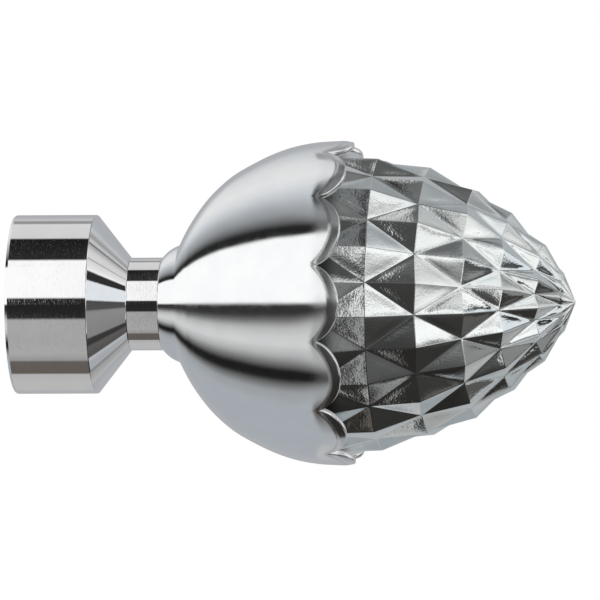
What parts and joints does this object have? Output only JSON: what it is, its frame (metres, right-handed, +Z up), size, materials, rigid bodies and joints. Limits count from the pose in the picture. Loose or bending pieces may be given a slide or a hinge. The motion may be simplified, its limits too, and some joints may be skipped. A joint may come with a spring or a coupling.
{
  "type": "curtain pole finial",
  "caption": "Polished metal finial for a round curtain pole: socket cup and neck, bell calyx with scalloped petals, and a blunt cone of faceted pyramids.",
  "frame": {"origin": "centre of the mouth of the pole socket", "axes": "+X along the finial's axis from the socket to the tip, +Z up with the pole level"},
  "size_m": [0.1008, 0.0581, 0.0582],
  "materials": {
    "socket_cup": "mirror polished chrome plate",
    "calyx": "softly polished chrome plate",
    "faceted_cone": "chrome plate on a faceted casting, slightly grainy",
    "fixing_screw": "bright zinc plated steel",
    "grub_screw": "dark steel"
  },
  "bodies": {
    "root": {"socket_cup": "socket_cup", "calyx": "calyx", "faceted_cone": "faceted_cone", "fixing_screw": "fixing_screw", "grub_screw": "grub_screw"}
  },
  "joints": []
}
